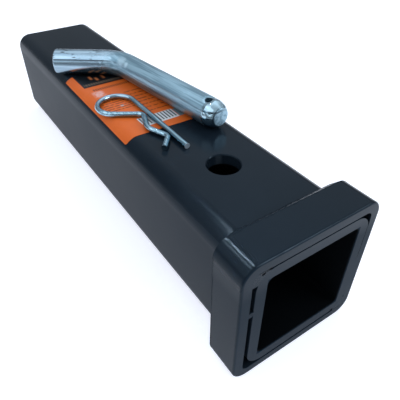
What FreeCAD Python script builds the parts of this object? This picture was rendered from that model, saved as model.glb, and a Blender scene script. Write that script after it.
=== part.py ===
import FreeCAD, Part
import math
import os

# A trailer hitch receiver tube: a square steel tube with a reinforcing collar
# welded round its mouth, and the bent hitch pin and spring clip that lie on it.
# Millimetres. +X runs along the tube and out of the mouth, +Z is up, and the
# origin is where the axis of the pin holes crosses the tube's centre line.

# Tube
tube_length = 304.8
tube_outer = 63.5
tube_corner_radius = 9.5
shank_size = 50.8
shank_clearance = 0.4
bore_corner_radius = 2.5
bore_edge_break = 0.6
mouth_to_pin_hole = 64.0
pin_hole_clearance = 1.3
pin_hole_edge_break = 0.5

# Collar
collar_length = 18.3
collar_wall = 5.25
collar_clearance = 1.1
collar_bottom_gap = 1.4
collar_corner_radius = 8.5
collar_inner_corner_radius = 3.8
collar_edge_round = 1.1

# Welds at the mouth, ground flush, and the bead behind the collar
corner_weld_depth = 6.0
corner_weld_down_side = 5.8
corner_weld_along_top = 6.3
tack_height = 8.8
tack_overlap = 0.4
tack_depth = 4.0
rear_weld_leg = 5.5
rear_weld_bulge = 0.7
rear_weld_toe = 0.3
rear_weld_shoulder = 0.4

# Label
label_length = 91.4
label_thickness = 0.15
label_to_pin_hole = 46.9
label_wrap_angle = 50.0
label_right_margin = 0.75

# Hitch pin
pin_diameter = 15.9
pin_shank_length = 98.9
pin_grip_length = 43.3
pin_bend = 46.5
pin_bend_radius = 23.2
pin_nose_length = 6.9
pin_nose_flat = 9.8
pin_grip_edge_round = 1.0
clip_hole_clearance = 1.2
clip_hole_to_end = 8.2
clip_hole_lean = 12.0
pin_corner_x = -124.95
pin_corner_y = 5.9
pin_heading = 6.8

# Spring clip
wire_diameter = 3.2
clip_leg_length = 61.6
clip_loop_first_radius = 10.8
clip_loop_first_turn = 113.7
clip_loop_side_radius = 12.2
clip_loop_side_turn = 51.0
clip_loop_last_radius = 11.1
clip_run_angle = 57.7
clip_throat_gap = 0.6
clip_throat_radius = 3.85
clip_throat_spacing = 26.0
clip_seat_radius = 9.6
clip_seat_depth = 7.85
clip_flare_angle = 39.6
clip_flare_length = 9.4
clip_x = -83.1
clip_y = -6.85
clip_heading = -0.45

tube_half = tube_outer / 2
tube_flat_half = tube_half - tube_corner_radius
bore_size = shank_size + shank_clearance
mouth_x = mouth_to_pin_hole
far_end_x = mouth_x - tube_length
collar_back_x = mouth_x - collar_length
collar_inner = tube_outer + 2 * collar_clearance
collar_outer = collar_inner + 2 * collar_wall
# The collar is pushed to -Y and down, so the tube bears on its +Y wall.
collar_y = -collar_clearance
collar_z = collar_clearance - collar_bottom_gap
pin_radius = pin_diameter / 2
rest_z = tube_half + label_thickness
# Longer than any piece, for cutting tools that pass right through.
reach = 2 * (tube_length + collar_outer)


def square_outline(x, y, z, side, radius):
    """Closed outline across the tube at x: a square centred at y, z with round corners."""
    half = side / 2
    flat = half - radius
    corners = [(1, 1), (-1, 1), (-1, -1), (1, -1)]
    edges = []
    for index, (side_y, side_z) in enumerate(corners):
        middle = FreeCAD.Vector(x, y + side_y * flat, z + side_z * flat)
        to_y = FreeCAD.Vector(0, side_y * radius, 0)
        to_z = FreeCAD.Vector(0, 0, side_z * radius)
        first, last = (to_y, to_z) if side_y == side_z else (to_z, to_y)
        halfway = (first + last) * math.sqrt(0.5)
        edges.append(Part.Arc(middle + first, middle + halfway, middle + last).toShape())
        next_y, next_z = corners[(index + 1) % len(corners)]
        next_middle = FreeCAD.Vector(x, y + next_y * flat, z + next_z * flat)
        edges.append(Part.LineSegment(middle + last, next_middle + last).toShape())
    return Part.Wire(edges)


def square_bar(x_from, x_to, y, z, side, radius):
    """Solid square bar with round corners, lying along X."""
    face = Part.Face(square_outline(x_from, y, z, side, radius))
    return face.extrude(FreeCAD.Vector(x_to - x_from, 0, 0))


def edges_at_x(solid, x, inside):
    """Edges of a solid that lie in the plane at x, less than `inside` from the tube's axis."""
    found = []
    for edge in solid.Edges:
        box = edge.BoundBox
        in_plane = abs(box.XMin - x) < 1e-4 and abs(box.XMax - x) < 1e-4
        if in_plane and max(abs(box.YMin), abs(box.YMax), abs(box.ZMin), abs(box.ZMax)) < inside:
            found.append(edge)
    return found


def receiver_tube():
    """Square tube with the bore for the shank and a pin hole through two walls."""
    bar = square_bar(far_end_x, mouth_x, 0, 0, tube_outer, tube_corner_radius)
    bore = square_bar(far_end_x, mouth_x, 0, 0, bore_size, bore_corner_radius)
    tube = bar.cut(bore)
    between = (bore_size + tube_outer) / 4
    rims = edges_at_x(tube, mouth_x, between) + edges_at_x(tube, far_end_x, between)
    tube = tube.makeChamfer(bore_edge_break, rims)
    hole_radius = pin_radius + pin_hole_clearance / 2
    start = FreeCAD.Vector(0, 0, -tube_outer)
    tube = tube.cut(Part.makeCylinder(hole_radius, 2 * tube_outer, start))
    hole_rims = []
    for edge in tube.Edges:
        box = edge.BoundBox
        level = abs(box.ZMin - box.ZMax) < 1e-4
        outside = abs(abs(box.ZMin) - tube_half) < 1e-4
        if level and outside and abs(box.XLength - 2 * hole_radius) < 1e-4:
            hole_rims.append(edge)
    return tube.makeChamfer(pin_hole_edge_break, hole_rims)


def inside_of_collar():
    """Solid that fills the collar's opening."""
    return square_bar(collar_back_x, mouth_x, collar_y, collar_z, collar_inner, collar_inner_corner_radius)


def mouth_collar():
    """Square band round the mouth, with its outer front edge rounded over."""
    band = square_bar(collar_back_x, mouth_x, collar_y, collar_z, collar_outer, collar_corner_radius)
    band = band.cut(inside_of_collar())
    front = edges_at_x(band, mouth_x, reach)
    inner_half = collar_inner / 2
    outer_rim = []
    for edge in front:
        middle = edge.valueAt((edge.FirstParameter + edge.LastParameter) / 2)
        if max(abs(middle.y - collar_y), abs(middle.z - collar_z)) > inner_half + collar_wall / 2:
            outer_rim.append(edge)
    return band.makeFillet(collar_edge_round, outer_rim)


def corner_box(side_y, side_z, y_from, z_from, depth):
    """Box over one corner of the mouth, outward from y_from and z_from."""
    box = Part.makeBox(depth, reach, reach)
    y = y_from if side_y > 0 else -y_from - reach
    z = z_from if side_z > 0 else -z_from - reach
    box.translate(FreeCAD.Vector(mouth_x - depth, y, z))
    return box


def tube_bar():
    """The tube's outer form without its bore."""
    return square_bar(far_end_x, mouth_x, 0, 0, tube_outer, tube_corner_radius)


def corner_weld(side_y, side_z):
    """Weld metal that fills the space between one corner of the tube and the collar."""
    y_from = tube_half - corner_weld_along_top
    z_from = tube_half - corner_weld_down_side
    block = corner_box(side_y, side_z, y_from, z_from, corner_weld_depth)
    return block.common(inside_of_collar()).cut(tube_bar())


def mouth_tack():
    """Small tack that bridges the slit on the -Y side of the mouth."""
    slit_y = -tube_half - collar_clearance
    start = FreeCAD.Vector(mouth_x - tack_depth, slit_y, tack_height)
    radius = collar_clearance + tack_overlap
    rod = Part.makeCylinder(radius, tack_depth, start, FreeCAD.Vector(1, 0, 0))
    return rod.common(inside_of_collar()).cut(tube_bar())


def collar_rear_weld():
    """Fillet bead all round the tube, against the back face of the collar."""
    top_half = collar_outer / 2 - rear_weld_shoulder
    toe_half = tube_half + rear_weld_toe
    stations = 4
    outlines = []
    for index in range(stations + 1):
        share = index / stations
        bulge = rear_weld_bulge * math.sin(math.pi * share)
        half = top_half + (toe_half - top_half) * share + bulge
        radius = collar_corner_radius + (tube_corner_radius - collar_corner_radius) * share
        x = collar_back_x - rear_weld_leg * share
        shift = 1 - share
        outlines.append(square_outline(x, collar_y * shift, collar_z * shift, 2 * half, radius))
    bead = Part.makeLoft(outlines, True, True)
    return bead.cut(tube_bar())


def product_label():
    """Thin label on the top face, wrapped round the tube's edge on the -Y side."""
    angle = math.radians(label_wrap_angle)
    x = -label_to_pin_hole - label_length
    corner = FreeCAD.Vector(x, -tube_flat_half, tube_flat_half)

    def around(turn, radius):
        return corner + FreeCAD.Vector(0, -math.sin(turn), math.cos(turn)) * radius

    under = tube_corner_radius
    over = tube_corner_radius + label_thickness
    right_y = tube_flat_half - label_right_margin
    right_under = FreeCAD.Vector(x, right_y, tube_half)
    right_over = FreeCAD.Vector(x, right_y, tube_half + label_thickness)
    edges = [
        Part.Arc(around(angle, under), around(angle / 2, under), around(0, under)).toShape(),
        Part.LineSegment(around(0, under), right_under).toShape(),
        Part.LineSegment(right_under, right_over).toShape(),
        Part.LineSegment(right_over, around(0, over)).toShape(),
        Part.Arc(around(0, over), around(angle / 2, over), around(angle, over)).toShape(),
        Part.LineSegment(around(angle, over), around(angle, under)).toShape(),
    ]
    return Part.Face(Part.Wire(edges)).extrude(FreeCAD.Vector(label_length, 0, 0))


def level_direction(degrees):
    """Unit vector in the XY plane."""
    return FreeCAD.Vector(math.cos(math.radians(degrees)), math.sin(math.radians(degrees)), 0)


def rod_along(edges, diameter):
    """Round rod swept along a smooth chain of edges."""
    path = Part.Wire(edges)
    start = edges[0].valueAt(edges[0].FirstParameter)
    heading = edges[0].tangentAt(edges[0].FirstParameter)
    ring = Part.Wire([Part.makeCircle(diameter / 2, start, heading)])
    return path.makePipeShell([ring], True, False)


def hitch_pin():
    """Round pin with a bent grip, a rounded nose and a cross hole for the clip."""
    corner = FreeCAD.Vector(pin_corner_x, pin_corner_y, rest_z + pin_radius)
    ahead = level_direction(pin_heading)
    back = level_direction(pin_heading + 180 + pin_bend)
    setback = pin_bend_radius * math.tan(math.radians(pin_bend / 2))
    bend_from = corner + back * setback
    bend_to = corner + ahead * setback
    inward = (ahead + back).normalize()
    to_centre = pin_bend_radius / math.cos(math.radians(pin_bend / 2))
    bend_middle = corner + inward * (to_centre - pin_bend_radius)
    nose_start = corner + ahead * (pin_shank_length - pin_nose_length)
    edges = [
        Part.LineSegment(corner + back * pin_grip_length, bend_from).toShape(),
        Part.Arc(bend_from, bend_middle, bend_to).toShape(),
        Part.LineSegment(bend_to, nose_start).toShape(),
    ]
    rod = rod_along(edges, pin_diameter)
    grip_end = corner + back * pin_grip_length
    rims = [edge for edge in rod.Edges if edge.BoundBox.Center.distanceToPoint(grip_end) < 1e-3]
    rod = rod.makeFillet(pin_grip_edge_round, rims)
    rod = rod.fuse(pin_nose(nose_start, ahead)).removeSplitter()
    across = FreeCAD.Vector(0, 0, 1).cross(ahead)
    lean = math.radians(clip_hole_lean)
    hole_axis = FreeCAD.Vector(0, 0, math.cos(lean)) - across * math.sin(lean)
    hole_middle = corner + ahead * (pin_shank_length - clip_hole_to_end)
    hole_radius = (wire_diameter + clip_hole_clearance) / 2
    hole = Part.makeCylinder(hole_radius, 2 * pin_diameter, hole_middle - hole_axis * pin_diameter, hole_axis)
    return rod.cut(hole)


def pin_nose(start, ahead):
    """Rounded end of the pin: an arc that leaves the shank smoothly and ends in a flat."""
    up = FreeCAD.Vector(0, 0, 1)
    drop = pin_radius - pin_nose_flat / 2
    arc_radius = (pin_nose_length ** 2 + drop ** 2) / (2 * drop)
    half_turn = math.asin(pin_nose_length / arc_radius) / 2
    rim = start + up * pin_radius
    along = arc_radius * math.sin(half_turn)
    down = arc_radius * (1 - math.cos(half_turn))
    arc_middle = rim + ahead * along - up * down
    tip = start + ahead * pin_nose_length
    flat_rim = tip + up * (pin_nose_flat / 2)
    edges = [
        Part.LineSegment(start, rim).toShape(),
        Part.Arc(rim, arc_middle, flat_rim).toShape(),
        Part.LineSegment(flat_rim, tip).toShape(),
        Part.LineSegment(tip, start).toShape(),
    ]
    return Part.Face(Part.Wire(edges)).revolve(start, ahead, 360)


def left_of(direction):
    """Level direction a quarter turn to the left of another."""
    return FreeCAD.Vector(-direction.y, direction.x, 0)


def line(first, last):
    return Part.LineSegment(first, last).toShape()


def arc_about(centre, radius, first, last):
    """Level arc of less than half a turn, from one side of its centre to another."""
    middle = (first + last).normalize()
    points = [centre + side * radius for side in (first, middle, last)]
    return Part.Arc(*points).toShape()


def clip_loop(start):
    """Three arcs that join smoothly, from heading -X at start round to the run's heading."""
    last_turn = 180 + clip_run_angle - clip_loop_first_turn - clip_loop_side_turn
    bends = [
        (clip_loop_first_radius, clip_loop_first_turn),
        (clip_loop_side_radius, clip_loop_side_turn),
        (clip_loop_last_radius, last_turn),
    ]
    edges = []
    point = start
    heading = 180
    for radius, turn in bends:
        side = left_of(level_direction(heading))
        next_side = left_of(level_direction(heading + turn))
        centre = point + side * radius
        edges.append(arc_about(centre, radius, side * -1, next_side * -1))
        point = centre - next_side * radius
        heading += turn
    return edges, point


def clip_route():
    """Centre line of the clip in its own plane: straight leg along +X, the rest on its -Y side."""
    leg_start = FreeCAD.Vector(0, 0, 0)
    leg_end = FreeCAD.Vector(clip_leg_length, 0, 0)
    loop, run_start = clip_loop(leg_start)
    throat = clip_throat_radius
    throat_y = -(wire_diameter + clip_throat_gap) - throat
    run = level_direction(clip_run_angle)
    run_side = left_of(run)
    run_end = run_start + run * ((throat_y + run_side.y * throat - run_start.y) / run.y)
    near = run_end - run_side * throat
    far = near + FreeCAD.Vector(clip_throat_spacing, 0, 0)
    seat = (near + far) / 2
    seat.y = clip_seat_radius - clip_seat_depth

    apart = seat - near
    slope = math.asin((throat + clip_seat_radius) / apart.Length) - math.atan2(apart.y, apart.x)
    down = level_direction(-math.degrees(slope))
    up = level_direction(math.degrees(slope))
    flare = level_direction(-clip_flare_angle)
    down_start = near + left_of(down) * throat
    down_end = seat - left_of(down) * clip_seat_radius
    up_start = seat - left_of(up) * clip_seat_radius
    up_end = far + left_of(up) * throat
    flare_start = far + left_of(flare) * throat
    return [
        line(leg_end, leg_start),
        *loop,
        line(run_start, run_end),
        arc_about(near, throat, run_side, left_of(down)),
        line(down_start, down_end),
        arc_about(seat, clip_seat_radius, left_of(down) * -1, left_of(up) * -1),
        line(up_start, up_end),
        arc_about(far, throat, left_of(up), left_of(flare)),
        line(flare_start, flare_start + flare * clip_flare_length),
    ]


def hairpin_clip():
    """Spring wire clip: one straight leg, a loop, and a waved leg that grips the pin."""
    clip = rod_along(clip_route(), wire_diameter)
    clip.rotate(FreeCAD.Vector(0, 0, 0), FreeCAD.Vector(0, 0, 1), clip_heading)
    clip.translate(FreeCAD.Vector(clip_x, clip_y, rest_z + wire_diameter / 2))
    return clip


def main():
    os.makedirs("parts", exist_ok=True)
    pieces = {
        "receiver_tube": receiver_tube(),
        "mouth_collar": mouth_collar(),
        "mouth_weld_top_left": corner_weld(-1, 1),
        "mouth_weld_bottom_right": corner_weld(1, -1),
        "mouth_tack": mouth_tack(),
        "collar_rear_weld": collar_rear_weld(),
        "product_label": product_label(),
        "hitch_pin": hitch_pin(),
        "hairpin_clip": hairpin_clip(),
    }
    for name, shape in pieces.items():
        shape.exportStep(f"parts/{name}.step")
        box = shape.BoundBox
        print(name, len(shape.Solids), shape.isValid(), round(shape.Volume, 1),
              [round(v, 2) for v in (box.XMin, box.YMin, box.ZMin, box.XMax, box.YMax, box.ZMax)])


main()
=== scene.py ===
import math

import bpy
from mathutils import Matrix, Vector, noise


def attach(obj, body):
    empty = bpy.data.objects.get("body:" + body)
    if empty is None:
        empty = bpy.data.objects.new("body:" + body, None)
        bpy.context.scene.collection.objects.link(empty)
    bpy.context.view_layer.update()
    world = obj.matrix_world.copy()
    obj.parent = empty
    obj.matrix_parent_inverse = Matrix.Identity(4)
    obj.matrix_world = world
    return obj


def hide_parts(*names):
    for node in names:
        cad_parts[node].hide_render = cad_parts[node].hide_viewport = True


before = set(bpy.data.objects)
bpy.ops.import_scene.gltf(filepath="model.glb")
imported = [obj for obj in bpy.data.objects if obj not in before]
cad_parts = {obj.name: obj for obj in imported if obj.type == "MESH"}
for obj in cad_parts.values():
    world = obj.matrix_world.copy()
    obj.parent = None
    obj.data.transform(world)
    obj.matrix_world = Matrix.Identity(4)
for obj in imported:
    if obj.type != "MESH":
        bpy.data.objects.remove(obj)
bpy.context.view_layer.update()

MM = 0.001
# Most values of a noise lie between these two
NOISE_RANGE = (0.3, 0.7)

# Sizes that the pieces here share with the CAD, in millimetres
TUBE_HALF = 31.75
TUBE_RADIUS = 9.5
FAR_END_X = -240.8
COLLAR_BACK_X = 45.7
COLLAR_HALF = 38.1
COLLAR_RADIUS = 8.5
COLLAR_Y = -1.1
COLLAR_Z = -0.3
LABEL_LENGTH = 91.4
LABEL_THICKNESS = 0.15
# Draw marks: their headings ahead of a corner and behind it, in degrees, and the corner's X and Y
PIN_HEADINGS = (6.8, 53.3)
PIN_CORNER = (-124.95, 5.9)
WIRE_HEADINGS = (-0.45, 57.2)
WIRE_CORNER = (-84.0, -6.9)
# Where the cut end of the clip's straight leg begins
WIRE_END_X = -21.6
# Clip hole in the pin: its place ahead of the corner, its shift sideways at the top, and its rim's two radii
HOLE_AHEAD = 90.7
HOLE_SHIFT = 1.6
HOLE_RIM = (2.2, 3.4)

# Where the looks change on the pieces, in millimetres. Two places are the ends of a soft change.
BORE_HALF = 26.2
MOUTH_FACE_X = 63.7
SIDE_Z = (30.0, 19.0)
# Where the painted highlight along the collar's front top edge lies; it fades out towards +Y
EDGE_HIGHLIGHT_X = (63.4, 63.7)
EDGE_HIGHLIGHT_Y = (-16.0, 6.0)
EDGE_HIGHLIGHT_Z = (37.1, 37.5)
PIN_TOP_Z = (43.0, 44.0)
# The same on the pin and the clip, by the place ahead of the corner
CORNER_ENDS = (-4.0, 4.0)
CRIMP_MIDDLE = 1.0
CRIMP_REACH = (3.0, 9.0)
SCUFF_END = (-10.0, -4.0)
NOSE_START = (90.5, 92.5)
NOSE_END = (98.3, 98.7)

# The photograph's camera: its place in millimetres and two of its directions on the frame's axes
CAMERA_AT = (135.085, -105.787, 151.369)
CAMERA_RIGHT = (0.560127, 0.828402, 0.002976)
CAMERA_FORWARD = (-0.635612, 0.432067, -0.639778)

# Light: the tint of lamps and surround, and the direction of the surround's glow
COOL = (0.90, 1.0, 1.10)
GLOW = (-0.287, 0.410, 0.866)
# Each lamp's place, aim and size in metres, its power in watts and its spread in degrees. The two small and
# narrow spots aim a little past the collar's upper left edge, and make the highlight along it.
SPOT_AIM = (0.092, -0.060, 0.036)
SPOT_SIZE = (0.09, 0.14)
SPOT_SPREAD = 6.5
LAMPS = {
    "left_softbox": ((-0.12, -1.05, 1.00), (-0.08, 0.0, 0.0), (1.9, 1.7), 11.5, 180.0),
    "front_strip": ((0.90, 0.90, 0.80), (0.064, 0.0, 0.038), (0.85, 0.22), 7.5, 180.0),
    "edge_spot_low": ((-0.763, -0.564, 1.300), SPOT_AIM, SPOT_SIZE, 0.0068, SPOT_SPREAD),
    "edge_spot_high": ((-0.761, -0.121, 1.410), SPOT_AIM, SPOT_SIZE, 0.0215, SPOT_SPREAD),
}

# Paint
PAINT_DEEP = (0.0060, 0.0102, 0.0155, 1.0)
PAINT_PALE = (0.0084, 0.0134, 0.0198, 1.0)
# Painted shade in the bore
PAINT_BORE_SHADE = (0.0002, 0.0004, 0.0008, 1.0)
PAINT_ON_MOUTH = (0.0095, 0.0175, 0.0275, 1.0)
PAINT_IN_PITS = (0.0006, 0.0010, 0.0016, 1.0)
# Painted highlight along the collar's front top edge
PAINT_EDGE_HIGHLIGHT = (0.052, 0.066, 0.082, 1.0)
PAINT_SHEEN = (0.64, 0.85, 1.0, 1.0)
# Pits and seams on the ground face of the mouth: middle and half size in Y and Z, millimetres
MOUTH_MARKS = (
    (-29.1, 31.4, 0.9, 0.65), (-25.8, 32.3, 0.75, 0.6), (-27.3, 31.95, 1.6, 0.2), (24.0, -31.0, 0.9, 0.3),
    (-28.5, 32.65, 3.2, 0.14), (31.75, 15.0, 0.14, 12.0), (28.5, -32.9, 3.0, 0.12),
)

# Zinc plate: its dull and its bright draw marks behind the corner and ahead of it, then single places
# The tones behind the corner are lighter than those ahead: painted light on the grip
ZINC_BEHIND = ((0.265, 0.365, 0.445, 1.0), (0.375, 0.495, 0.580, 1.0))
ZINC_AHEAD = ((0.180, 0.285, 0.350, 1.0), (0.350, 0.510, 0.600, 1.0))
ZINC_CUT = (0.62, 0.70, 0.78, 1.0)
ZINC_WORN = (0.045, 0.060, 0.075, 1.0)
# Painted highlight on the pin's nose
ZINC_NOSE_HIGHLIGHT = (0.46, 0.61, 0.69, 1.0)
# Painted highlights (the two light marks) and a painted shade (the dark mark) on the pin's bend: middle and
# reach in millimetres, and colour
BEND_HIGHLIGHTS_AND_SHADE = (
    ((-113.2, 1.2, 45.2), 4.6, (0.58, 0.76, 0.86, 1.0)),
    ((-107.6, 1.6, 45.2), 2.4, (0.62, 0.80, 0.90, 1.0)),
    ((-118.6, 0.4, 43.2), 1.9, (0.12, 0.19, 0.24, 1.0)),
)

# Label: its colours, and how many millimetres one unit of its UV map is
ORANGE_LOW = (0.61, 0.108, 0.014, 1.0)
ORANGE_HIGH = (0.67, 0.130, 0.020, 1.0)
INK_BLACK = (0.006, 0.008, 0.010, 1.0)
INK_DARK = (0.030, 0.014, 0.008, 1.0)
INK_TAN = (0.30, 0.20, 0.13, 1.0)
INK_RUST = (0.50, 0.15, 0.05, 1.0)
INK_PINK = (0.72, 0.42, 0.38, 1.0)
INK_PALE = (0.42, 0.40, 0.40, 1.0)
INK_WHITE = (0.62, 0.64, 0.66, 1.0)
# Painted shadow of the pin on the label
LABEL_PIN_SHADOW = (0.14, 0.20, 0.22, 1.0)
UV_UNIT = 100

# Floor: the heading in X and Y away from the camera, the ends along it between dim and lit, and the colours
FLOOR_AWAY = (-0.827, 0.562)
FLOOR_ENDS = (-250.0, -150.0)
FLOOR_LOW = (0.60, 0.62, 0.64, 1.0)
FLOOR_HIGH = (0.63, 0.64, 0.65, 1.0)
FLOOR_DIM = (0.24, 0.26, 0.28, 1.0)
FLOOR_GLOW = (1.0, 1.0, 1.11, 1.0)


def link(item):
    bpy.context.scene.collection.objects.link(item)


def make_camera():
    data = bpy.data.cameras.new("photo_camera")
    data.sensor_width = 36.0
    data.lens = 38.2032
    data.clip_start = 0.005
    data.clip_end = 50.0
    camera = bpy.data.objects.new("photo_camera", data)
    link(camera)
    right = Vector(CAMERA_RIGHT)
    forward = Vector(CAMERA_FORWARD)
    up = right.cross(forward)
    turn = Matrix((right, up, -forward)).transposed()
    camera.matrix_world = Matrix.Translation(Vector(CAMERA_AT) * MM) @ turn.to_4x4()
    bpy.context.scene.camera = camera


def add_lamp(name, place, aim, size, power, spread):
    data = bpy.data.lights.new(name, "AREA")
    data.shape = "RECTANGLE"
    data.size, data.size_y = size
    data.energy = power
    data.color = COOL
    data.spread = math.radians(spread)
    lamp = bpy.data.objects.new(name, data)
    lamp.location = place
    lamp.rotation_mode = "QUATERNION"
    lamp.rotation_quaternion = (Vector(aim) - Vector(place)).to_track_quat("-Z", "Y")
    link(lamp)


class Nodes:
    """Short ways to add nodes to one tree."""

    def __init__(self, tree):
        self.tree = tree

    def add(self, kind, **settings):
        node = self.tree.nodes.new("ShaderNode" + kind)
        for name, value in settings.items():
            setattr(node, name, value)
        return node

    def put(self, socket, value):
        """Link another node's output to the socket, or set the socket to a plain value."""
        if isinstance(value, bpy.types.NodeSocket):
            self.tree.links.new(value, socket)
        elif value is not None:
            socket.default_value = value

    def math(self, operation, *values):
        node = self.add("Math", operation=operation)
        for socket, value in zip(node.inputs, values):
            self.put(socket, value)
        return node.outputs[0]

    def times(self, first, *others):
        for value in others:
            first = self.math("MULTIPLY", first, value)
        return first

    def plus(self, first, *others):
        for value in others:
            first = self.math("ADD", first, value)
        return first

    def coordinates(self, kind):
        return self.add("TexCoord").outputs[kind]

    def parts(self, vector):
        node = self.add("SeparateXYZ")
        self.put(node.inputs[0], vector)
        return node.outputs

    def vectors(self, operation, first, second):
        """A number worked out from two vectors."""
        node = self.add("VectorMath", operation=operation)
        self.put(node.inputs[0], first)
        self.put(node.inputs[1], second)
        return node.outputs["Value"]

    def turned(self, vector, degrees, scale, shift=(0.0, 0.0, 0.0)):
        """The vector turned about Z, and then scaled and shifted."""
        turn = self.add("Mapping")
        self.put(turn.inputs["Vector"], vector)
        turn.inputs["Rotation"].default_value = (0.0, 0.0, math.radians(degrees))
        stretch = self.add("Mapping")
        self.put(stretch.inputs["Vector"], turn.outputs[0])
        stretch.inputs["Scale"].default_value = scale
        stretch.inputs["Location"].default_value = shift
        return stretch.outputs[0]

    def noise(self, vector, scale, detail=3.0, rough=0.5, distortion=0.0):
        node = self.add("TexNoise")
        self.put(node.inputs["Vector"], vector)
        node.inputs["Scale"].default_value = scale
        node.inputs["Detail"].default_value = detail
        node.inputs["Roughness"].default_value = rough
        node.inputs["Distortion"].default_value = distortion
        return node.outputs[0]

    def spread(self, value, low, high, to_low=0.0, to_high=1.0, shape="LINEAR"):
        """The value carried from one range to another, and held at its ends."""
        node = self.add("MapRange", interpolation_type=shape)
        self.put(node.inputs[0], value)
        for socket, number in zip(list(node.inputs)[1:5], (low, high, to_low, to_high)):
            socket.default_value = number
        return node.outputs[0]

    def rise(self, place, ends):
        """0 up to the first of two ends and 1 from the second on; the ends are in millimetres."""
        return self.spread(place, ends[0] * MM, ends[1] * MM)

    def fall(self, place, ends):
        """1 up to the first of two ends and 0 from the second on; the ends are in millimetres."""
        return self.spread(place, ends[0] * MM, ends[1] * MM, 1.0, 0.0)

    def near(self, vector, middle, reach):
        """1 close to a point, falling to 0 at the reach; both are in millimetres."""
        away = self.vectors("DISTANCE", vector, [v * MM for v in middle])
        return self.fall(away, (0.35 * reach, reach))

    def mix(self, share, first, second):
        """A mix of two colours, which go into the sockets 6 and 7."""
        node = self.add("Mix", data_type="RGBA")
        self.put(node.inputs[0], share)
        self.put(node.inputs[6], first)
        self.put(node.inputs[7], second)
        return node.outputs[2]

    def bump(self, height, distance, strength, under=None):
        node = self.add("Bump")
        node.inputs["Strength"].default_value = strength
        node.inputs["Distance"].default_value = distance
        self.put(node.inputs["Height"], height)
        self.put(node.inputs["Normal"], under)
        return node.outputs[0]


class Surface(Nodes):
    """The nodes of one material."""

    def __init__(self, name):
        self.material = bpy.data.materials.new(name)
        self.material.use_nodes = True
        super().__init__(self.material.node_tree)
        self.tree.nodes.clear()
        self.shader = self.add("BsdfPrincipled")
        self.put(self.add("OutputMaterial").inputs["Surface"], self.shader.outputs[0])

    def finish(self, colour, roughness, normal, **settings):
        self.put(self.shader.inputs["Base Color"], colour)
        self.put(self.shader.inputs["Roughness"], roughness)
        self.put(self.shader.inputs["Normal"], normal)
        for name, value in settings.items():
            self.put(self.shader.inputs[name.replace("_", " ")], value)
        return self.material


def make_surround():
    """Cool surround, dim at the horizon, with a soft glow high behind the tube on its left side."""
    world = bpy.data.worlds.new("studio")
    bpy.context.scene.world = world
    world.use_nodes = True
    g = Nodes(world.node_tree)
    direction = g.coordinates("Generated")
    by_height = g.spread(g.parts(direction)[2], 0.2, 0.75, 0.25, 0.60, "SMOOTHSTEP")
    glow = g.math("POWER", g.spread(g.vectors("DOT_PRODUCT", direction, GLOW), 0.6, 1.0), 2.0)
    background = g.tree.nodes["Background"]
    g.put(background.inputs["Color"], (*COOL, 1.0))
    g.put(background.inputs["Strength"], g.plus(by_height, glow))


def mouth_marks(g, y, z):
    """1 in the pits and seams of the mouth's face, which are soft ovals, squarer across than upwards."""
    marks = None
    for middle_y, middle_z, half_y, half_z in MOUTH_MARKS:
        across = g.math("DIVIDE", g.math("SUBTRACT", y, middle_y * MM), half_y * MM)
        up = g.math("DIVIDE", g.math("SUBTRACT", z, middle_z * MM), half_z * MM)
        reach = g.plus(g.math("POWER", g.math("ABSOLUTE", across), 4.0),
                       g.math("POWER", g.math("ABSOLUTE", up), 2.0))
        mark = g.spread(reach, 0.5, 1.3, 1.0, 0.0)
        marks = mark if marks is None else g.math("MAXIMUM", marks, mark)
    return marks


def paint_material(name, weld=False):
    """Semi-gloss black paint on drawn steel, brushed on the mouth, with a painted highlight along the
    collar's front top edge.
    """
    g = Surface(name)
    at = g.coordinates("Object")
    x, y, z = g.parts(at)
    inside = g.times(*(g.math("COMPARE", place, 0.0, BORE_HALF * MM) for place in (y, z)))
    on_mouth = g.math("GREATER_THAN", x, MOUTH_FACE_X * MM)
    side = g.rise(z, SIDE_Z)
    marks = g.times(mouth_marks(g, y, z), on_mouth)

    cloud = g.noise(at, 22.0, 4.0, 0.6)
    colour = g.mix(g.spread(cloud, *NOISE_RANGE), PAINT_DEEP, PAINT_PALE)
    # Painted shade: the bore's walls are darkened to near black
    colour = g.mix(inside, colour, PAINT_BORE_SHADE)
    colour = g.mix(on_mouth, colour, PAINT_ON_MOUTH)
    colour = g.mix(marks, colour, PAINT_IN_PITS)
    if not weld:
        # Painted highlight along the collar's front top edge, broken up in patches and fading out towards +Y
        patchy = g.spread(g.noise(at, 260.0, 2.0, 0.5), 0.30, 0.55, 0.5, 1.0)
        edge_highlight = g.times(g.rise(x, EDGE_HIGHLIGHT_X), g.rise(z, EDGE_HIGHLIGHT_Z), g.fall(y, EDGE_HIGHLIGHT_Y), patchy)
        colour = g.mix(edge_highlight, colour, PAINT_EDGE_HIGHLIGHT)

    roughness = g.plus(g.spread(cloud, *NOISE_RANGE, 0.17, 0.21), g.times(side, 0.25),
                       g.times(inside, 0.4), g.times(on_mouth, 0.12), g.times(marks, 0.5))
    brushed = g.noise(g.turned(at, 0.0, (1.0, 1.0, 9.0)), 500.0, 3.0, 0.6)
    peel = g.noise(at, 800.0 if weld else 300.0, 2.0, 0.5)
    normal = g.bump(g.mix(on_mouth, peel, brushed), 0.0003 if weld else 0.00003, 0.4)
    normal = g.bump(marks, -0.0006, 1.0, normal)
    return g.finish(colour, roughness, normal, Specular_IOR_Level=0.09, Specular_Tint=PAINT_SHEEN)


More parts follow.
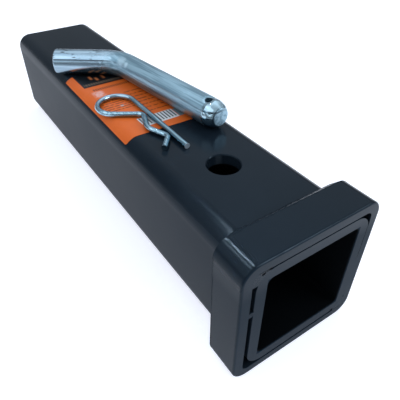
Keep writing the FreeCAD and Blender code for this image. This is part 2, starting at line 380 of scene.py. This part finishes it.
def zinc_material(name, headings, corner, wire=False):
    """Bright zinc plate with lengthwise draw marks, and on the pin also with scuffs and a crimped bend."""
    g = Surface(name)
    at = g.coordinates("Object")
    x, y, z = g.parts(at)
    turn = math.radians(headings[0])
    cos, sin = math.cos(turn), math.sin(turn)
    ahead = g.plus(g.times(x, cos), g.times(y, sin))
    ahead = g.math("SUBTRACT", ahead, (corner[0] * cos + corner[1] * sin) * MM)
    past_corner = g.rise(ahead, CORNER_ENDS)

    grain = 1200.0 if wire else 480.0
    stretched = [g.turned(at, -degrees, (0.05, 1.0, 1.0)) for degrees in headings]
    first, second = (g.noise(vector, grain, 3.0, 0.55) for vector in stretched)
    drawn = g.plus(g.times(first, past_corner), g.times(second, g.math("SUBTRACT", 1.0, past_corner)))
    # Behind the corner the lighter tones paint extra light on the grip
    dull, bright = (g.mix(past_corner, *tones) for tones in zip(ZINC_BEHIND, ZINC_AHEAD))
    contrast = 0.10 if wire else 0.08
    colour = g.mix(g.spread(drawn, 0.5 - contrast, 0.5 + contrast), dull, bright)
    smooth, rough = (0.13, 0.18) if wire else (0.21, 0.27)
    roughness = g.spread(g.noise(at, 60.0, 4.0, 0.6), *NOISE_RANGE, smooth, rough)
    normal = g.bump(drawn, 0.000015 if wire else 0.00004, 0.5)
    if wire:
        cut = g.math("GREATER_THAN", x, WIRE_END_X * MM)
        colour = g.mix(cut, colour, ZINC_CUT)
        return g.finish(colour, g.plus(roughness, g.times(cut, 0.45)), normal, Metallic=1.0)

    # The crimped bend, with painted highlights and a painted shade mark
    from_crimp = g.math("ABSOLUTE", g.math("SUBTRACT", ahead, CRIMP_MIDDLE * MM))
    crimp = g.noise(g.turned(at, 20.0, (1.0, 1.6, 1.0), (0.05, 0.0, 0.02)), 120.0, 1.0, 0.5, 0.6)
    normal = g.bump(g.times(crimp, g.fall(from_crimp, CRIMP_REACH)), 0.0006, 0.6, normal)
    # Painted highlights and painted shade on the bend, broken up by this noise
    patch = g.noise(at, 120.0, 2.0, 0.5)
    bend_light_breakup = g.spread(patch, 0.30, 0.60, 0.55, 1.0)
    for middle, reach, tone in BEND_HIGHLIGHTS_AND_SHADE:
        colour = g.mix(g.times(g.near(at, middle, reach), bend_light_breakup), colour, tone)

    # Dark scuffs on top of the grip
    on_top = g.rise(z, PIN_TOP_Z)
    scratch = g.noise(g.turned(at, -headings[1], (0.22, 1.0, 1.0)), 900.0, 4.0, 0.65, 0.4)
    worn = g.times(g.spread(scratch, 0.53, 0.58), g.spread(patch, 0.42, 0.50))
    worn = g.times(worn, on_top, g.fall(ahead, SCUFF_END))
    colour = g.mix(worn, colour, ZINC_WORN)
    roughness = g.plus(roughness, g.times(worn, 0.2), g.times(past_corner, 0.18))

    # The nose, but for its flat end: smooth, dented in facets, and lightened by a painted highlight
    on_nose = g.times(g.rise(ahead, NOSE_START), g.fall(ahead, NOSE_END))
    colour = g.mix(g.times(on_nose, 0.7), colour, ZINC_NOSE_HIGHLIGHT)
    dents = g.add("TexVoronoi")
    g.put(dents.inputs["Vector"], at)
    g.put(dents.inputs["Scale"], 200.0)
    normal = g.bump(g.times(dents.outputs["Distance"], on_nose), 0.0010, 0.6, normal)
    roughness = g.math("SUBTRACT", roughness, g.times(on_nose, 0.26))

    # The dished rim of the clip hole
    beside = g.math("SUBTRACT", g.times(y, cos), g.times(x, sin))
    beside = g.plus(beside, (corner[0] * sin - corner[1] * cos) * MM)
    from_hole = g.plus(g.math("POWER", g.math("SUBTRACT", ahead, HOLE_AHEAD * MM), 2.0),
                       g.math("POWER", g.plus(beside, HOLE_SHIFT * MM), 2.0))
    dished = g.times(g.rise(g.math("SQRT", from_hole), HOLE_RIM), on_top)
    normal = g.bump(dished, 0.0006, 0.7, normal)
    return g.finish(colour, roughness, normal, Metallic=1.0)


def label_material(name):
    """Printed film: an orange field, a black panel and plain bars, with no lettering."""
    g = Surface(name)
    at = g.coordinates("UV")
    u, v, _ = g.parts(at)
    wobble = g.noise(at, 60.0, 2.0, 0.5)
    ink = g.noise(at, 6.0, 4.0, 0.6)
    colour = g.mix(g.spread(ink, *NOISE_RANGE), ORANGE_LOW, ORANGE_HIGH)

    def between(value, low, high, soft):
        """1 where the value lies between two places, in millimetres."""
        rise = g.spread(value, (low - soft) / UV_UNIT, (low + soft) / UV_UNIT)
        fall = g.spread(value, (high - soft) / UV_UNIT, (high + soft) / UV_UNIT, 1.0, 0.0)
        return g.times(rise, fall)

    def field(x_from, x_to, s_from, s_to, soft=0.15):
        return g.times(between(u, x_from, x_to, soft), between(v, s_from, s_to, soft))

    def stripes(value, pitch, share):
        """Bars of one pitch in millimetres, dark over a share of it."""
        cycle = g.math("FRACT", g.times(g.plus(value, 10.0), UV_UNIT / pitch))
        return g.spread(cycle, share - 0.12, share + 0.12, 1.0, 0.0)

    def stamp(ink_colour, strength, *masks):
        nonlocal colour
        colour = g.mix(g.times(*masks, strength), colour, ink_colour)

    # Black panel with a row of dashes and three blocks
    stamp(INK_BLACK, 1.0, field(-139.5, -117.2, -24.1, 30.0))
    stamp(INK_TAN, 0.5, field(-122.2, -119.2, -23.0, 3.0), stripes(v, 1.75, 0.55))
    blocks = ((-133.0, -127.5, -15.8, -14.0), (-129.5, -124.5, -12.6, -10.8), (-131.5, -125.5, -7.6, -5.8))
    for block in blocks:
        stamp(INK_RUST, 0.8, field(*block, 0.5))
    # Orange field with a row of bars, a cloudy patch and broken lines
    broken = g.spread(wobble, 0.40, 0.50)
    stamp(INK_DARK, 0.92, field(-112.8, -110.0, -21.0, 12.0), stripes(v, 1.5, 0.5))
    stamp(INK_PINK, 0.85, field(-108.6, -100.6, -22.6, -16.4, 1.3), g.spread(wobble, 0.30, 0.55))
    stamp(INK_DARK, 0.80, field(-97.0, -77.0, -24.5, -7.5), stripes(u, 2.6, 0.36), broken)
    for middle in (-98.5, -94.0, -90.0, -85.5, -82.0, -77.5, -73.0, -68.5):
        stamp(INK_DARK, 0.80, field(middle - 0.5, middle + 0.5, -6.0, 21.0, 0.2), broken)
    stamp(INK_PALE, 0.8, field(-83.8, -82.2, -15.2, -13.2, 0.4))
    # White field with plain bars, and beside it a grey field, a painted shadow of the pin on the label
    stamp(INK_WHITE, 1.0, field(-63.5, -53.2, -14.8, 7.8))
    stamp(INK_BLACK, 0.93, field(-63.2, -54.6, -14.2, 7.4), stripes(v, 2.0, 0.45))
    stamp(LABEL_PIN_SHADOW, 1.0, field(-62.8, -53.3, 8.2, 30.0))
    normal = g.bump(ink, 0.00005, 0.3)
    roughness = g.spread(ink, *NOISE_RANGE, 0.30, 0.40)
    return g.finish(colour, roughness, normal, Specular_IOR_Level=0.2)


def mesh_piece(name, vertices, faces, material, smooth):
    """A piece of one material, from vertices in millimetres."""
    mesh = bpy.data.meshes.new(name)
    mesh.from_pydata([Vector(v) * MM for v in vertices], [], faces)
    mesh.validate()
    mesh.update()
    mesh.polygons.foreach_set("use_smooth", [smooth] * len(mesh.polygons))
    mesh.materials.append(material)
    piece = bpy.data.objects.new(name, mesh)
    link(piece)
    return piece


def make_label(material):
    """The label, wrapped round the tube's edge, with a UV map along X and along the skin."""
    flat = TUBE_HALF - TUBE_RADIUS
    # Ends along X, of which the near one slants, and along the skin, of which the low one runs askew
    x_far, x_near, slant = -138.6, -47.4, 0.028
    s_low, s_high, askew, corner = -30.0, flat - 0.75, 1.0, 1.6
    # Shares of the length: even steps, and closer ones at the near end for the round corner
    steps, close_steps, close = 90, 8, 0.0178
    shares = [i / steps for i in range(steps - 1)]
    shares += [1 - close * (1 - math.sin(math.pi / 2 * i / close_steps)) for i in range(1, close_steps + 1)]
    rows, columns = 64, len(shares) - 1

    def skin(x, s, lift):
        if s < -flat:
            a = (-flat - s) / TUBE_RADIUS
            radius = TUBE_RADIUS + lift
            return (x, -flat - radius * math.sin(a), flat + radius * math.cos(a))
        return (x, s, TUBE_HALF + lift)

    def skin_place(i, j):
        """Place along X and along the skin. The corner of the slanting and the askew edge is round."""
        share = shares[i]
        into_corner = max(0.0, corner - LABEL_LENGTH * (1 - share))
        s_from = s_low - askew * share + corner - math.sqrt(corner * corner - into_corner * into_corner)
        s = s_from + (s_high - s_from) * j / rows
        x_to = x_near + slant * (s - (s_low - askew))
        return x_far + (x_to - x_far) * share, s

    vertices, faces, coords = [], [], []
    for lift in (LABEL_THICKNESS, 0.0):
        for i in range(columns + 1):
            for j in range(rows + 1):
                x, s = skin_place(i, j)
                vertices.append(skin(x, s, lift))
                coords.append((x / UV_UNIT, s / UV_UNIT))
    step = rows + 1
    under = (columns + 1) * step
    for i in range(columns):
        for j in range(rows):
            a = i * step + j
            faces.append((a, a + step, a + step + 1, a + 1))
            faces.append((under + a, under + a + 1, under + a + step + 1, under + a + step))
    rim = [i * step for i in range(columns)] + [columns * step + j for j in range(rows)]
    rim += [i * step + rows for i in range(columns, 0, -1)] + list(range(rows, 0, -1))
    for a, b in zip(rim, rim[1:] + rim[:1]):
        faces.append((a, under + a, under + b, b))
    piece = mesh_piece("label_skin", vertices, faces, material, smooth=False)
    layer = piece.data.uv_layers.new(name="skin_dm")
    for loop in piece.data.loops:
        layer.data[loop.index].uv = coords[loop.vertex_index]
    return piece


def rounded_square(half, radius, y, z, straight=190, arc=60):
    """Points and outward normals round a rounded square, from the -Y end of its flat top towards +Y."""
    flat = half - radius
    points = []
    for side in range(4):
        turn = -math.pi / 2 * side
        cos, sin = math.cos(turn), math.sin(turn)
        rows = [(-flat + 2 * flat * i / straight, half, 0.0) for i in range(straight)]
        for i in range(arc):
            a = math.pi / 2 * i / arc
            rows.append((flat + radius * math.sin(a), flat + radius * math.cos(a), a))
        for across, up, a in rows:
            ny, nz = math.sin(a) * cos - math.cos(a) * sin, math.sin(a) * sin + math.cos(a) * cos
            points.append((y + (across * cos - up * sin), z + (across * sin + up * cos), ny, nz))
    return points


def make_bead(material):
    """The rippled bead behind the collar, laid all round the tube and lapping the collar's back edge."""
    # Reach along the tube, step below the collar's skin, bulge, length of a ripple, and rows across
    leg, shoulder, bulge, pitch, rows = 5.2, 0.1, 0.8, 3.1, 11
    inner = rounded_square(TUBE_HALF, TUBE_RADIUS, 0.0, 0.0)
    outer = rounded_square(COLLAR_HALF - shoulder, COLLAR_RADIUS, COLLAR_Y, COLLAR_Z)
    lengths = [math.hypot(b[0] - a[0], b[1] - a[1]) for a, b in zip(inner, inner[1:] + inner[:1])]
    along, total = 0.0, sum(lengths)
    turns = round(total / pitch)
    vertices = []
    for (ay, az, ny, nz), (by, bz, _, _), length in zip(inner, outer, lengths):
        wander = noise.noise(Vector((ay * 0.22, az * 0.22, 3.0)))
        # From the collar's back edge, t = 0, down to the toe on the tube, t = 1. A saw-like ripple and a
        # slow wander move each row off the plain slope, outwards and along X.
        for row in range(rows):
            t = row / (rows - 1)
            phase = turns * along / total - t * (1 - t) + 0.35 * wander
            ripple = (1 - (phase % 1.0)) ** 0.7 - 0.55
            lift = (bulge + 0.35 * ripple + 0.25 * wander) * math.sin(math.pi * min(1.0, t + 0.08))
            reach = leg + 0.7 * wander + 0.45 * ripple * t
            x = COLLAR_BACK_X + (0.35 + 0.35 * ripple + 0.4 * wander) * (1 - t) ** 3 - reach * t
            vertices.append((x, by + (ay - by) * t + ny * lift, bz + (az - bz) * t + nz * lift))
        # The hidden root, between the tube and the collar
        vertices.append((COLLAR_BACK_X + 0.6, ay - ny * 0.2, az - nz * 0.2))
        along += length
    step, count = rows + 1, len(inner)
    faces = []
    for i in range(count):
        for j in range(step):
            a, b = i * step + j, i * step + (j + 1) % step
            c, d = (i + 1) % count * step + (j + 1) % step, (i + 1) % count * step + j
            faces.append((a, b, c, d))
    return mesh_piece("rear_bead", vertices, faces, material, smooth=True)


def make_floor():
    """Pale floor, bright wherever the camera sees it and dim beyond the front of the picture."""
    g = Surface("pale_floor")
    at = g.coordinates("Object")
    x, y, _ = g.parts(at)
    away = g.plus(g.times(x, FLOOR_AWAY[0]), g.times(y, FLOOR_AWAY[1]))
    lit = g.rise(away, FLOOR_ENDS)
    cloud = g.noise(at, 3.0)
    colour = g.mix(g.spread(cloud, *NOISE_RANGE), FLOOR_LOW, FLOOR_HIGH)
    colour = g.mix(lit, FLOOR_DIM, colour)
    normal = g.bump(g.noise(at, 600.0), 0.0001, 0.2)
    shine = g.times(lit, 0.60)
    material = g.finish(colour, 0.9, normal, Emission_Strength=shine, Emission_Color=FLOOR_GLOW)
    # The tube rests on its collar and on the lower edge of its far end, so the floor slopes along X
    slope = (COLLAR_HALF - COLLAR_Z - TUBE_HALF) / (COLLAR_BACK_X - FAR_END_X)
    height = COLLAR_Z - COLLAR_HALF + slope * COLLAR_BACK_X
    half = 3000.0
    corners = [(-half, -half), (half, -half), (half, half), (-half, half)]
    vertices = [(across, along, height - slope * across) for across, along in corners]
    floor = mesh_piece("floor", vertices, [(0, 1, 2, 3)], material, smooth=False)


make_camera()
make_surround()
for lamp_name, lamp_values in LAMPS.items():
    add_lamp(lamp_name, *lamp_values)
bpy.context.scene.view_settings.view_transform = "Standard"

paint = paint_material("black_paint")
welded = paint_material("painted_weld", weld=True)
zinc = zinc_material("zinc_plate", PIN_HEADINGS, PIN_CORNER)
zinc_wire = zinc_material("zinc_wire", WIRE_HEADINGS, WIRE_CORNER, wire=True)
film = label_material("label_film")
dress = {
    "receiver_tube": paint, "mouth_collar": paint,
    "mouth_weld_top_left": welded, "mouth_weld_bottom_right": welded,
    "mouth_tack": welded, "collar_rear_weld": welded,
    "product_label": film, "hitch_pin": zinc, "hairpin_clip": zinc_wire,
}
for node, material in dress.items():
    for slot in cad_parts[node].material_slots:
        slot.material = material

label = make_label(film)
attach(label, "root")
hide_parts("product_label")
bead = make_bead(welded)
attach(bead, "root")
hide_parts("collar_rear_weld")
make_floor()
